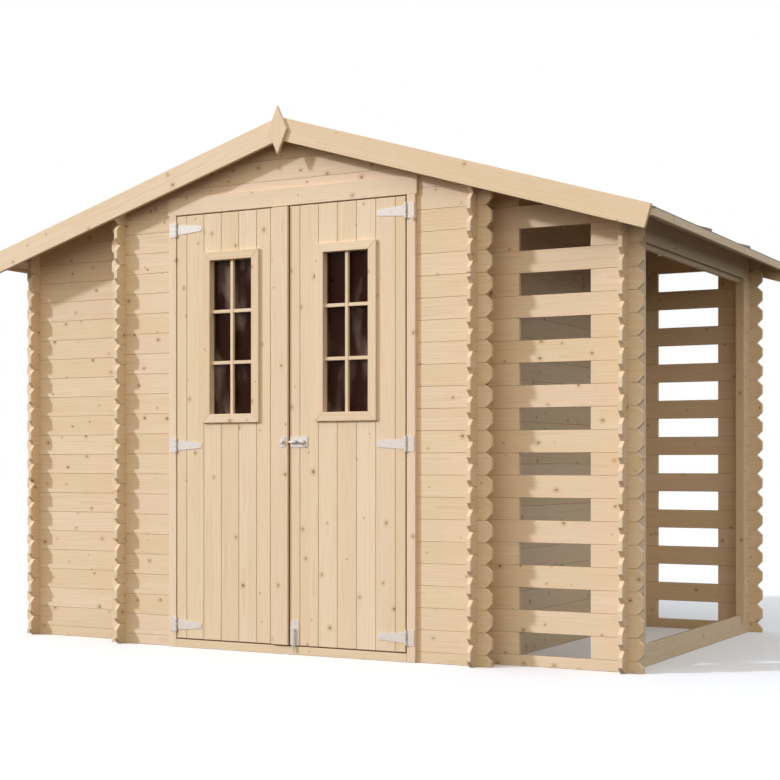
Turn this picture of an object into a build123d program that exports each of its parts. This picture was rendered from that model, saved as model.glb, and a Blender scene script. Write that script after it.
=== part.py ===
from build123d import *
import os
from math import atan, cos, sin

os.makedirs("parts", exist_ok=True)

# Wall boards: courses of tongued boards, laid log-cabin fashion
board_high = 90.0
board_thick = 19.0
end_overhang = 62.0
end_chamfer = 25.0
side_courses = 20
spare_courses = 8

# Plan of the three rooms, the middle one entered by the doors
room_half = 870.0
bay_width = 576.0
room_depth = 1831.0
bay_set_back = 106.0

# Slots of the log store and its open side
slot_long = 306.0
slot_rows = 11
front_stub = 190.0
rear_stub = 92.0
post_wide = 40.0
post_thick = 19.0
notch_long = 50.0
batten_wide = 38.0
batten_thick = 19.0
head_drop = 24.0

# Roof
rise_share = 0.302
deck_thick = 19.0
felt_thick = 3.0
eave_overhang = 141.0
fascia_thick = 16.0
fascia_high = 32.0
barge_wide = 95.0
barge_thick = 16.0
barge_proud = 7.0
finial_high = 205.0
finial_wide = 92.0
finial_thick = 14.0
finial_lift = 44.0

# Doorway and its frame
door_half = 578.0
jamb_wide = 39.5
jamb_thick = 16.0
jamb_lap = 12.0
lintel_high = 77.0
lintel_lap = 24.0
lintel_over = 7.0
sill_high = 35.0
leaf_gap = 5.0

# Leaves
leaf_thick = 16.0
meeting_offset = 12.0
meeting_gap = 6.0
strip_wide = 78.0
strip_thick = 12.0
ledge_high = 95.0
ledge_thick = 19.0
ledge_inset = 45.0
window_wide = 216.0
window_high = 671.0
window_drop = 207.0
trim_wide = 38.0
trim_thick = 12.0
sash_thick = 19.0
glass_thick = 4.0

# Hinges
hinge_inset = 60.0
middle_hinge_share = 0.454
plate_high = 65.0
plate_thick = 2.5
knuckle_radius = 5.0
knuckle_slack = 0.5
knuckle_clear = 2.0
strap_long = 124.0
strap_root = 45.0
strap_tip = 27.0
plate_margin = 4.5

# Latch and foot bolt on the right leaf
latch_lift = 11.0
latch_long = 88.0
latch_high = 46.0
latch_margin = 4.0
bolt_radius = 6.0
knob_radius = 5.0
knob_long = 16.0
keeper_long = 26.0
keeper_edge = 8.0
foot_wide = 43.0
foot_high = 106.0
foot_guide_wide = 16.0
foot_guide_high = 53.0
foot_rod_radius = 4.0
foot_rod_drop = 24.0
foot_clear = 7.0

overrun = 400.0

# Derived positions
half_board = board_high / 2
front_y = -room_depth / 2
rear_y = room_depth / 2
bay_front_y = front_y + bay_set_back
room_outer = room_half + board_thick
bay_inner = room_outer + bay_width
bay_outer = bay_inner + board_thick
room_end = room_outer + end_overhang
bay_end = bay_outer + end_overhang
slope = atan(rise_share)
eave_height = side_courses * board_high
under_ridge = eave_height + rise_share * bay_outer
deck_rise = deck_thick / cos(slope)
felt_rise = felt_thick / cos(slope)
deck_edge = bay_outer + eave_overhang
roof_edge = deck_edge + fascia_thick
roof_front = front_y - end_overhang
roof_rear = rear_y + end_overhang
roof_long = roof_rear - roof_front
barge_rise = barge_wide / cos(slope)
barge_cut = barge_wide * sin(slope)
barge_top = under_ridge + deck_rise + felt_rise + barge_proud
door_courses = int((under_ridge - rise_share * room_end - half_board - end_chamfer) / board_high)
head_z = door_courses * board_high + half_board
door_cut = door_half + jamb_lap
lintel_base = head_z - lintel_lap
leaf_top = lintel_base - leaf_gap
leaf_base = sill_high + leaf_gap
leaf_high = leaf_top - leaf_base
face_y = front_y - jamb_thick
left_edges = (-door_half + leaf_gap, meeting_offset - meeting_gap / 2)
right_edges = (meeting_offset + meeting_gap / 2, door_half - leaf_gap)
window_z = leaf_top - window_drop - window_high / 2
top_hinge = leaf_top - hinge_inset
low_hinge = leaf_base + hinge_inset
hinge_rows = (low_hinge, low_hinge + middle_hinge_share * (top_hinge - low_hinge), top_hinge)
axis_x = door_half - leaf_gap / 2
axis_y = face_y - knuckle_radius
latch_z = hinge_rows[1] + latch_lift

cross_courses = side_courses + spare_courses
level_joints = [0.0] + [half_board + k * board_high for k in range(cross_courses)]
side_joints = [k * board_high for k in range(cross_courses)]


def under(x):
    """Height of the roof's underside at a distance x from the middle."""
    return under_ridge - rise_share * abs(x)


def facing_front(y):
    """Upright plane across the building, facing the front."""
    return Plane(origin=(0, y, 0), x_dir=(1, 0, 0), z_dir=(0, -1, 0))


def facing_right(x):
    """Upright plane along the building, facing right."""
    return Plane(origin=(x, 0, 0), x_dir=(0, 1, 0), z_dir=(1, 0, 0))


def lying(z):
    """Level plane at a height."""
    return Plane(origin=(0, 0, z), x_dir=(1, 0, 0), z_dir=(0, 0, 1))


def shaped_end(joints, edge, way):
    """Outline of a column of board ends, each with both corners cut off."""
    points = []
    for low, high in zip(joints, joints[1:]):
        if high - low < board_high:
            points.append((edge, low))
        else:
            points.append((edge - way * end_chamfer, low))
            points.append((edge, low + end_chamfer))
        points.append((edge, high - end_chamfer))
    points.append((edge - way * end_chamfer, joints[-1]))
    return points


def straight_end(joints, edge):
    """Outline of a column of boards sawn off square."""
    return [(edge, joints[0]), (edge, joints[-1])]


def wall_face(right, left):
    """Face of a wall between the outlines of its two ends."""
    Polygon(*right, *reversed(left), align=None)


def laps(centre, joints):
    """Openings through which the crossing wall's boards pass."""
    with Locations(*[(centre, z) for z in joints]):
        Rectangle(board_thick, half_board, mode=Mode.SUBTRACT)


def level_laps(centre):
    """Openings in a wall across the building for a wall along it."""
    laps(centre, [low + half_board for low in side_joints])


def side_laps(centre):
    """Openings in a wall along the building for a wall across it."""
    laps(centre, side_joints)


def slots(centre):
    """Every other course left open over part of its length."""
    with Locations(*[(centre, board_high + k * 2 * board_high) for k in range(slot_rows)]):
        Rectangle(slot_long, board_high, mode=Mode.SUBTRACT)


def opening(near, far, low, high):
    """Cut in a wall along the building, between two distances and two heights."""
    with Locations(((near + far) / 2, (low + high) / 2)):
        Rectangle(far - near, high - low, mode=Mode.SUBTRACT)


def roof_cut():
    """Everything above the underside of the roof is sawn off."""
    far = roof_edge + overrun
    with BuildSketch(facing_front(roof_rear + overrun)) as above_roof:
        Polygon(
            (0, under(0)),
            (far, under(far)),
            (far, under_ridge + overrun),
            (-far, under_ridge + overrun),
            (-far, under(far)),
            align=None,
        )
    extrude(above_roof.sketch, amount=roof_long + overrun + overrun, mode=Mode.SUBTRACT)


def upright_board(x, low, wide, high):
    """Rectangle on an upright plane, standing on a height."""
    with Locations((x, low + high / 2)):
        Rectangle(wide, high)


# Front wall of the room beside and over the doorway
beside = [z for z in level_joints if z <= head_z]
above = [z for z in level_joints if z >= head_z]
with BuildPart() as front_wall_left:
    with BuildSketch(facing_front(front_y + board_thick)):
        wall_face(straight_end(beside, -door_cut), shaped_end(beside, -room_end, -1))
        level_laps(-room_half - board_thick / 2)
    extrude(amount=board_thick)

with BuildPart() as front_wall_right:
    with BuildSketch(facing_front(front_y + board_thick)):
        wall_face(shaped_end(beside, room_end, 1), straight_end(beside, door_cut))
        level_laps(room_half + board_thick / 2)
    extrude(amount=board_thick)

with BuildPart() as front_gable:
    with BuildSketch(facing_front(front_y + board_thick)):
        wall_face(shaped_end(above, room_end, 1), shaped_end(above, -room_end, -1))
        level_laps(-room_half - board_thick / 2)
        level_laps(room_half + board_thick / 2)
    extrude(amount=board_thick)
    roof_cut()

# Rear wall of all three rooms, slotted behind the log store
slot_x = room_outer + bay_width / 2
with BuildPart() as rear_wall:
    with BuildSketch(facing_front(rear_y)):
        wall_face(shaped_end(level_joints, bay_end, 1), shaped_end(level_joints, -bay_end, -1))
        for centre in (room_half + board_thick / 2, bay_inner + board_thick / 2):
            level_laps(-centre)
            level_laps(centre)
        slots(slot_x)
    extrude(amount=board_thick)
    roof_cut()

# Front walls of the closed bay and of the log store, set back from the room's
with BuildPart() as bay_front:
    with BuildSketch(facing_front(bay_front_y + board_thick)):
        wall_face(straight_end(level_joints, -room_outer), shaped_end(level_joints, -bay_end, -1))
        level_laps(-bay_inner - board_thick / 2)
    extrude(amount=board_thick)
    roof_cut()

with BuildPart() as log_store_front:
    with BuildSketch(facing_front(bay_front_y + board_thick)):
        wall_face(shaped_end(level_joints, bay_end, 1), straight_end(level_joints, room_outer))
        level_laps(bay_inner + board_thick / 2)
        slots(slot_x)
    extrude(amount=board_thick)
    roof_cut()

# Walls along the building
room_front_end = front_y - end_overhang
bay_front_end = bay_front_y - end_overhang
rear_end = rear_y + end_overhang
with BuildPart() as room_side_left:
    with BuildSketch(facing_right(-room_outer)):
        wall_face(shaped_end(side_joints, rear_end, 1), shaped_end(side_joints, room_front_end, -1))
        side_laps(front_y + board_thick / 2)
        side_laps(rear_y - board_thick / 2)
    extrude(amount=board_thick)
    roof_cut()

with BuildPart() as room_side_right:
    with BuildSketch(facing_right(room_half)):
        wall_face(shaped_end(side_joints, rear_end, 1), shaped_end(side_joints, room_front_end, -1))
        side_laps(front_y + board_thick / 2)
        side_laps(rear_y - board_thick / 2)
    extrude(amount=board_thick)
    roof_cut()

with BuildPart() as bay_side:
    with BuildSketch(facing_right(-bay_outer)):
        wall_face(shaped_end(side_joints, rear_end, 1), shaped_end(side_joints, bay_front_end, -1))
        side_laps(bay_front_y + board_thick / 2)
        side_laps(rear_y - board_thick / 2)
    extrude(amount=board_thick)
    roof_cut()

# Open side of the log store: a bottom board and stubs at the corners
front_post = bay_front_y + front_stub
open_front = front_post + post_thick
rear_post = rear_y - rear_stub
open_rear = rear_post - post_thick
open_top = eave_height - board_high
open_long = open_rear - open_front
open_middle = (open_front + open_rear) / 2
with BuildPart() as log_store_side:
    with BuildSketch(facing_right(bay_inner)):
        wall_face(shaped_end(side_joints, rear_end, 1), shaped_end(side_joints, bay_front_end, -1))
        side_laps(bay_front_y + board_thick / 2)
        side_laps(rear_y - board_thick / 2)
        opening(front_post, rear_post, board_high, under_ridge)
        opening(front_post, open_front, half_board, board_high)
        opening(open_rear - notch_long, rear_post, half_board, board_high)
    extrude(amount=board_thick)
    roof_cut()

with BuildPart() as log_store_head:
    with BuildSketch(facing_right(bay_inner)):
        upright_board(open_middle, open_top, open_long, under_ridge - open_top)
    extrude(amount=board_thick)
    roof_cut()

# Posts that stand in the bottom board, and the batten behind the head
with BuildPart() as log_store_frame:
    with BuildSketch(facing_right(bay_outer - post_wide)):
        for near in (front_post, open_rear):
            upright_board(near + post_thick / 2, half_board, post_thick, under_ridge - half_board)
    extrude(amount=post_wide)
    roof_cut()
    with BuildSketch(facing_right(bay_inner - batten_thick)):
        upright_board(open_middle, open_top - head_drop, open_long, batten_wide)
    extrude(amount=batten_thick)


def deck_face(way):
    """End of one slope of roof boards."""
    Polygon(
        (0, under(0)),
        (way * deck_edge, under(deck_edge)),
        (way * deck_edge, under(deck_edge) + deck_rise),
        (0, under(0) + deck_rise),
        align=None,
    )


def fascia_face(way):
    """End of the strip that covers the eave edge of the roof boards."""
    low = under(roof_edge) + deck_rise - fascia_high
    Polygon(
        (way * deck_edge, under(deck_edge) + deck_rise),
        (way * roof_edge, under(roof_edge) + deck_rise),
        (way * roof_edge, low),
        (way * deck_edge, low),
        align=None,
    )


def barge_face(way):
    """Bargeboard, mitred at the ridge and sawn square at the eave."""
    tip = roof_edge - barge_cut
    Polygon(
        (0, barge_top),
        (way * roof_edge, barge_top - rise_share * roof_edge),
        (way * tip, barge_top - barge_rise - rise_share * tip),
        (0, barge_top - barge_rise),
        align=None,
    )


def finial_face():
    """Upright rhombus over the joint of two bargeboards."""
    high = barge_top + finial_lift
    Polygon(
        (0, high),
        (finial_wide / 2, high - finial_high / 2),
        (0, high - finial_high),
        (-finial_wide / 2, high - finial_high / 2),
        align=None,
    )


with BuildPart() as roof_left:
    with BuildSketch(facing_front(roof_rear)):
        deck_face(-1)
    extrude(amount=roof_long)

with BuildPart() as roof_right:
    with BuildSketch(facing_front(roof_rear)):
        deck_face(1)
    extrude(amount=roof_long)

with BuildPart() as eave_fascia_left:
    with BuildSketch(facing_front(roof_rear)):
        fascia_face(-1)
    extrude(amount=roof_long)

with BuildPart() as eave_fascia_right:
    with BuildSketch(facing_front(roof_rear)):
        fascia_face(1)
    extrude(amount=roof_long)

with BuildPart() as roof_felt:
    with BuildSketch(facing_front(roof_rear)):
        felt_eave = under(roof_edge) + deck_rise
        with BuildLine():
            Polyline(
                (0, under_ridge + deck_rise),
                (roof_edge, felt_eave),
                (roof_edge, felt_eave + felt_rise),
                (0, under_ridge + deck_rise + felt_rise),
                (-roof_edge, felt_eave + felt_rise),
                (-roof_edge, felt_eave),
                close=True,
            )
        make_face()
    extrude(amount=roof_long)

with BuildPart() as front_barge_left:
    with BuildSketch(facing_front(roof_front)):
        barge_face(-1)
    extrude(amount=barge_thick)

with BuildPart() as front_barge_right:
    with BuildSketch(facing_front(roof_front)):
        barge_face(1)
    extrude(amount=barge_thick)

with BuildPart() as rear_barge_left:
    with BuildSketch(facing_front(roof_rear + barge_thick)):
        barge_face(-1)
    extrude(amount=barge_thick)

with BuildPart() as rear_barge_right:
    with BuildSketch(facing_front(roof_rear + barge_thick)):
        barge_face(1)
    extrude(amount=barge_thick)

with BuildPart() as front_finial:
    with BuildSketch(facing_front(roof_front - barge_thick)):
        finial_face()
    extrude(amount=finial_thick)

with BuildPart() as rear_finial:
    with BuildSketch(facing_front(roof_rear + barge_thick + finial_thick)):
        finial_face()
    extrude(amount=finial_thick)

# Door frame
with BuildPart() as door_jamb_left:
    with BuildSketch(facing_front(front_y)):
        upright_board(-door_half - jamb_wide / 2, 0, jamb_wide, lintel_base)
    extrude(amount=jamb_thick)

with BuildPart() as door_jamb_right:
    with BuildSketch(facing_front(front_y)):
        upright_board(door_half + jamb_wide / 2, 0, jamb_wide, lintel_base)
    extrude(amount=jamb_thick)

with BuildPart() as door_lintel:
    with BuildSketch(facing_front(front_y)):
        lintel_half = door_half + jamb_wide + lintel_over
        upright_board(0, lintel_base, lintel_half + lintel_half, lintel_high)
    extrude(amount=jamb_thick)

with BuildPart() as door_sill:
    with BuildSketch(facing_front(front_y + board_thick)):
        upright_board(0, 0, door_half + door_half, sill_high)
    extrude(amount=board_thick + jamb_thick)


def leaf_face(edges):
    """Boarded leaf with its window opening."""
    middle = (edges[0] + edges[1]) / 2
    upright_board(middle, leaf_base, edges[1] - edges[0], leaf_high)
    with Locations((middle, window_z)):
        Rectangle(window_wide, window_high, mode=Mode.SUBTRACT)


def trim_face(edges):
    """Frame of trim or sash around the window."""
    with Locations(((edges[0] + edges[1]) / 2, window_z)):
        Rectangle(window_wide + trim_wide + trim_wide, window_high + trim_wide + trim_wide)
        Rectangle(window_wide, window_high, mode=Mode.SUBTRACT)


def glass_face(edges):
    """Pane that fills the sash."""
    with Locations(((edges[0] + edges[1]) / 2, window_z)):
        Rectangle(window_wide, window_high)


def ledge_faces(edges):
    """Ledges across the back of a leaf at the heights of its hinges."""
    with Locations(*[((edges[0] + edges[1]) / 2, z) for z in hinge_rows]):
        Rectangle(edges[1] - edges[0] - ledge_inset - ledge_inset, ledge_high)


with BuildPart() as left_leaf:
    with BuildSketch(facing_front(face_y + leaf_thick)):
        leaf_face(left_edges)
    extrude(amount=leaf_thick)

with BuildPart() as right_leaf:
    with BuildSketch(facing_front(face_y + leaf_thick)):
        leaf_face(right_edges)
    extrude(amount=leaf_thick)

with BuildPart() as left_window_trim:
    with BuildSketch(facing_front(face_y)):
        trim_face(left_edges)
    extrude(amount=trim_thick)

with BuildPart() as right_window_trim:
    with BuildSketch(facing_front(face_y)):
        trim_face(right_edges)
    extrude(amount=trim_thick)

sash_y = face_y + leaf_thick + sash_thick
with BuildPart() as left_sash:
    with BuildSketch(facing_front(sash_y)):
        trim_face(left_edges)
    extrude(amount=sash_thick)

with BuildPart() as right_sash:
    with BuildSketch(facing_front(sash_y)):
        trim_face(right_edges)
    extrude(amount=sash_thick)

glass_y = sash_y - (sash_thick - glass_thick) / 2
with BuildPart() as left_glass:
    with BuildSketch(facing_front(glass_y)):
        glass_face(left_edges)
    extrude(amount=glass_thick)

with BuildPart() as right_glass:
    with BuildSketch(facing_front(glass_y)):
        glass_face(right_edges)
    extrude(amount=glass_thick)

with BuildPart() as left_ledges:
    with BuildSketch(facing_front(face_y + leaf_thick + ledge_thick)):
        ledge_faces(left_edges)
    extrude(amount=ledge_thick)

with BuildPart() as right_ledges:
    with BuildSketch(facing_front(face_y + leaf_thick + ledge_thick)):
        ledge_faces(right_edges)
    extrude(amount=ledge_thick)

with BuildPart() as meeting_strip:
    with BuildSketch(facing_front(face_y)):
        upright_board(left_edges[1] - strip_wide / 2, leaf_base, strip_wide, leaf_high)
    extrude(amount=strip_thick)


third = plate_high / 3
clear_x = knuckle_radius + knuckle_clear
plate_reach = leaf_gap / 2 + jamb_wide - plate_margin


def hinge_plate(way, z):
    """Plate on the jamb with the outer two knuckles of a hinge."""
    with BuildSketch(facing_front(face_y)) as plate:
        with Locations((way * (axis_x + plate_reach / 2), z)):
            Rectangle(plate_reach, plate_high)
        with Locations((way * axis_x, z)):
            Rectangle(clear_x + clear_x, third, mode=Mode.SUBTRACT)
    extrude(plate.sketch, amount=plate_thick)
    for low in (z - plate_high / 2, z + third / 2):
        with BuildSketch(lying(low)) as knuckle:
            with Locations((way * axis_x, axis_y)):
                Circle(knuckle_radius)
        extrude(knuckle.sketch, amount=third)


def hinge_strap(way, z):
    """Tapered strap on the leaf with the middle knuckle of a hinge."""
    tongue = third / 2 - knuckle_slack
    root = axis_x - clear_x
    tip = axis_x - strap_long
    with BuildSketch(facing_front(face_y)) as strap:
        Polygon(
            (way * root, z - strap_root / 2),
            (way * root, z + strap_root / 2),
            (way * tip, z + strap_tip / 2),
            (way * tip, z - strap_tip / 2),
            align=None,
        )
        with Locations((way * tip, z)):
            Circle(strap_tip / 2)
        with Locations((way * (axis_x - clear_x / 2), z)):
            Rectangle(clear_x, tongue + tongue)
    extrude(strap.sketch, amount=plate_thick)
    with BuildSketch(lying(z - tongue)) as knuckle:
        with Locations((way * axis_x, axis_y)):
            Circle(knuckle_radius)
    extrude(knuckle.sketch, amount=tongue + tongue)


with BuildPart() as left_hinge_plates:
    for row in hinge_rows:
        hinge_plate(-1, row)

with BuildPart() as right_hinge_plates:
    for row in hinge_rows:
        hinge_plate(1, row)

with BuildPart() as left_hinge_straps:
    for row in hinge_rows:
        hinge_strap(-1, row)

with BuildPart() as right_hinge_straps:
    for row in hinge_rows:
        hinge_strap(1, row)

# Barrel bolt on the right leaf, drawn back, and its keeper on the left leaf
latch_left = right_edges[0] + latch_margin
barrel_y = face_y - plate_thick - bolt_radius
with BuildPart() as latch:
    with BuildSketch(facing_front(face_y)):
        with Locations((latch_left + latch_long / 2, latch_z)):
            Rectangle(latch_long, latch_high)
    extrude(amount=plate_thick)
    with BuildSketch(facing_right(latch_left)):
        with Locations((barrel_y, latch_z)):
            Rectangle(bolt_radius + bolt_radius, bolt_radius + bolt_radius)
    extrude(amount=latch_long)
    with BuildSketch(facing_front(barrel_y)):
        with Locations((latch_left + latch_long / 2, latch_z)):
            Circle(knob_radius)
    extrude(amount=bolt_radius + knob_long)

strip_face_y = face_y - strip_thick
with BuildPart() as latch_keeper:
    with BuildSketch(facing_front(strip_face_y)):
        with Locations((left_edges[1] - keeper_edge - keeper_long / 2, latch_z)):
            Rectangle(keeper_long, latch_high)
    extrude(amount=plate_thick)

# Foot bolt on the right leaf
foot_x = right_edges[0] + latch_margin + foot_wide / 2
foot_y = face_y - foot_clear - foot_rod_radius
with BuildPart() as foot_bolt:
    with BuildSketch(facing_front(face_y)):
        upright_board(foot_x, leaf_base, foot_wide, foot_high)
    extrude(amount=plate_thick)
    with BuildSketch(facing_front(face_y)):
        upright_board(foot_x, leaf_base, foot_guide_wide, foot_guide_high)
    extrude(amount=foot_clear + foot_rod_radius)
    with BuildSketch(lying(leaf_base - foot_rod_drop)):
        with Locations((foot_x, foot_y)):
            Circle(foot_rod_radius)
    extrude(amount=foot_rod_drop + foot_guide_high)

pieces = {
    "front_wall_left": front_wall_left,
    "front_wall_right": front_wall_right,
    "front_gable": front_gable,
    "rear_wall": rear_wall,
    "bay_front": bay_front,
    "bay_side": bay_side,
    "room_side_left": room_side_left,
    "room_side_right": room_side_right,
    "log_store_front": log_store_front,
    "log_store_side": log_store_side,
    "log_store_head": log_store_head,
    "log_store_frame": log_store_frame,
    "roof_left": roof_left,
    "roof_right": roof_right,
    "roof_felt": roof_felt,
    "eave_fascia_left": eave_fascia_left,
    "eave_fascia_right": eave_fascia_right,
    "front_barge_left": front_barge_left,
    "front_barge_right": front_barge_right,
    "rear_barge_left": rear_barge_left,
    "rear_barge_right": rear_barge_right,
    "front_finial": front_finial,
    "rear_finial": rear_finial,
    "door_jamb_left": door_jamb_left,
    "door_jamb_right": door_jamb_right,
    "door_lintel": door_lintel,
    "door_sill": door_sill,
    "left_hinge_plates": left_hinge_plates,
    "right_hinge_plates": right_hinge_plates,
    "left_leaf": left_leaf,
    "left_ledges": left_ledges,
    "left_window_trim": left_window_trim,
    "left_sash": left_sash,
    "left_glass": left_glass,
    "left_hinge_straps": left_hinge_straps,
    "meeting_strip": meeting_strip,
    "latch_keeper": latch_keeper,
    "right_leaf": right_leaf,
    "right_ledges": right_ledges,
    "right_window_trim": right_window_trim,
    "right_sash": right_sash,
    "right_glass": right_glass,
    "right_hinge_straps": right_hinge_straps,
    "latch": latch,
    "foot_bolt": foot_bolt,
}
for label, piece in pieces.items():
    piece.part.label = label
    export_step(piece.part, f"parts/{label}.step")
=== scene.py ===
"""Looks of the log board shed: planed spruce boards, zinc fittings, dark panes and mineral felt."""

import logging
import math
import random
from contextlib import contextmanager
from dataclasses import dataclass, field
from enum import Enum
from typing import Callable, ClassVar, Iterator, Sequence

import bmesh
import bpy
from mathutils import Matrix, Vector


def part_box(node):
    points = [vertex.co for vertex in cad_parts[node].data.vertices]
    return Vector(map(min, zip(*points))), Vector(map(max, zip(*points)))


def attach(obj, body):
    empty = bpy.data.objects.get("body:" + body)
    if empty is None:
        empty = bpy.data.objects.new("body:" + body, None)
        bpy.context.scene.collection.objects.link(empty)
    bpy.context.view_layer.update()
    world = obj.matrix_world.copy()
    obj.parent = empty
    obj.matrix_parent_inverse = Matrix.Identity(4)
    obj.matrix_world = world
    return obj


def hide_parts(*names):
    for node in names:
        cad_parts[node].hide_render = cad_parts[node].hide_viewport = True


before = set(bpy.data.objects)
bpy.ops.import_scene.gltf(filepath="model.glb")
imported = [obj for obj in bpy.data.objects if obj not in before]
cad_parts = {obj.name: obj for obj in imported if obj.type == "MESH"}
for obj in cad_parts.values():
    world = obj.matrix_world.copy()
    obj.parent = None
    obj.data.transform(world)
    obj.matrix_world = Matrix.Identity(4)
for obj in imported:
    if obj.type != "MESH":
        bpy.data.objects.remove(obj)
log = logging.getLogger("shed")

Object = bpy.types.Object
Material = bpy.types.Material
Tree = bpy.types.NodeTree
Node = bpy.types.Node
Socket = bpy.types.NodeSocket
Feeds = dict[str | int, object]
Point = Sequence[float]
Plane = tuple[Point, Point]
EdgeTest = Callable[[Vector, Vector], bool]

BOARD_HIGH = 0.090  # cover of a wall board
HALF_SHARE = 0.7  # boards less than this share of the cover are half boards
END_CHAMFER = 0.025  # cut off the corners of the board ends
RISE_SHARE = 0.302  # rise of the roof over its run
SLOPE = math.atan(RISE_SHARE)
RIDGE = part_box("rear_wall")[1].z  # underside of the roof at the ridge
PLATE_THICK = 0.0025  # steel of the fittings
TRIM_ARRIS = 0.0015  # broken off the edges of loose boards
STEEL_ARRIS = 0.0005  # broken off the edges of the fittings
PLATE_REST = 0.001  # of a plate, left behind what stands in it
ROD_SIDES = 18  # facets of a turned rod
RIM_ARRIS = 0.0008  # broken off the rims of rods
RIM_BEND = 60.0  # degrees of bend from which a rod's edge is a rim
SMOOTH_BEND = 40.0  # degrees of bend up to which a rod is shaded round
NOISE_LOW = 0.2  # below this a noise pattern seldom lies
NOISE_HIGH = 0.8  # above this it seldom lies
PAST = 0.01  # how far a cutter reaches beyond the wood
NEAR = 1e-4  # lengths closer than this are the same


class Axis(Enum):
    """The three directions of the building."""

    ACROSS = 0
    ALONG = 1
    UP = 2


class Body(Enum):
    """What a piece moves with."""

    SHED = "shed"
    LEFT_DOOR = "left_door"
    RIGHT_DOOR = "right_door"


class Slot(Enum):
    """Finishes that the record names."""

    WALL = "wall_boards"
    TRIM = "trim_boards"
    ROOF = "roof_boards"
    DOOR = "door_boards"
    FELT = "roof_felt"
    ZINC = "galvanised"


def under(x: float) -> float:
    """Height of the roof's underside at a distance from the middle."""
    return RIDGE - RISE_SHARE * abs(x)


def linear(code: str) -> tuple[float, float, float, float]:
    """Turns an sRGB hex colour to linear light.

    Args:
        code: six hex digits after a hash.

    Returns:
        Red, green, blue and a full alpha.
    """
    parts = [int(code[i : i + 2], 16) / 255 for i in (1, 3, 5)]
    light = [c / 12.92 if c <= 0.04045 else ((c + 0.055) / 1.055) ** 2.4 for c in parts]
    return (*light, 1.0)


def clear_selection() -> None:
    """Leaves edit mode and deselects every object."""
    if bpy.context.object and bpy.context.object.mode != "OBJECT":
        bpy.ops.object.mode_set(mode="OBJECT")
    bpy.ops.object.select_all(action="DESELECT")


def make_active(obj: Object) -> None:
    """Selects one object alone.

    Args:
        obj: object that the next operator works on.
    """
    clear_selection()
    obj.select_set(True)
    bpy.context.view_layer.objects.active = obj


@contextmanager
def editing(obj: Object, mode: str = "EDGE") -> Iterator[bmesh.types.BMesh]:
    """Opens an object in edit mode with nothing selected.

    Args:
        obj: mesh object to shape.
        mode: what is selected, VERT, EDGE or FACE.

    Returns:
        Its edit mesh, for picking by place.
    """
    make_active(obj)
    bpy.ops.object.mode_set(mode="EDIT")
    bpy.ops.mesh.select_mode(type=mode)
    bpy.ops.mesh.select_all(action="DESELECT")
    yield bmesh.from_edit_mesh(obj.data)
    bpy.ops.object.mode_set(mode="OBJECT")


def block(low: Point, high: Point, name: str) -> Object:
    """Adds a cuboid, its place in its mesh.

    Args:
        low: its lowest corner.
        high: its highest corner.
        name: what it is called.

    Returns:
        The cuboid.
    """
    clear_selection()
    bpy.ops.mesh.primitive_cube_add(size=1.0)
    obj = bpy.context.object
    obj.name = name
    obj.scale = Vector(high) - Vector(low)
    obj.location = (Vector(high) + Vector(low)) / 2
    bpy.ops.object.transform_apply(location=True, rotation=True, scale=True)
    return obj


def apply_modifier(obj: Object, kind: str, **settings: object) -> None:
    """Adds a modifier and applies it.

    Args:
        obj: piece to change.
        kind: type of modifier.
        settings: the modifier's own properties.
    """
    make_active(obj)
    made = obj.modifiers.new(kind.lower(), kind)
    for key, value in settings.items():
        setattr(made, key, value)
    bpy.ops.object.modifier_apply(modifier=made.name)


def break_edges(obj: Object, width: float, segments: int = 1, angle: float = 25.0) -> None:
    """Takes the sharp edges off a piece.

    Args:
        obj: piece to finish.
        width: how much is taken off.
        segments: facets of each edge.
        angle: degrees of bend from which an edge is sharp.
    """
    bend = math.radians(angle)
    apply_modifier(obj, "BEVEL", width=width, segments=segments, limit_method="ANGLE", angle_limit=bend)


def saw(obj: Object, cut: Plane) -> None:
    """Saws off what lies on a plane's far side and closes the cut.

    Args:
        obj: piece to saw.
        cut: a point of the plane and the way that its far side lies.
    """
    with editing(obj):
        bpy.ops.mesh.select_all(action="SELECT")
        bpy.ops.mesh.bisect(plane_co=cut[0], plane_no=cut[1], use_fill=True, clear_outer=True)


def hollow(obj: Object, low: Point, high: Point) -> None:
    """Cuts a cuboid out of a piece.

    Args:
        obj: piece to cut.
        low: the cuboid's lowest corner.
        high: its highest corner.
    """
    tool = block(low, high, "cutter")
    apply_modifier(obj, "BOOLEAN", object=tool, operation="DIFFERENCE", solver="EXACT")
    bpy.data.objects.remove(tool)


def round_edges(obj: Object, pick: EdgeTest, radius: float, segments: int = 4) -> None:
    """Rounds the edges that a test picks by their two ends.

    Args:
        obj: piece to shape.
        pick: test of an edge.
        radius: size of the rounding.
        segments: facets of the rounding, one for a flat chamfer.
    """
    with editing(obj) as shape:
        for edge in shape.edges:
            if pick(edge.verts[0].co, edge.verts[1].co):
                edge.select_set(True)
        bmesh.update_edit_mesh(obj.data)
        bpy.ops.mesh.bevel(offset=radius, segments=segments, affect="EDGES")


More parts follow.
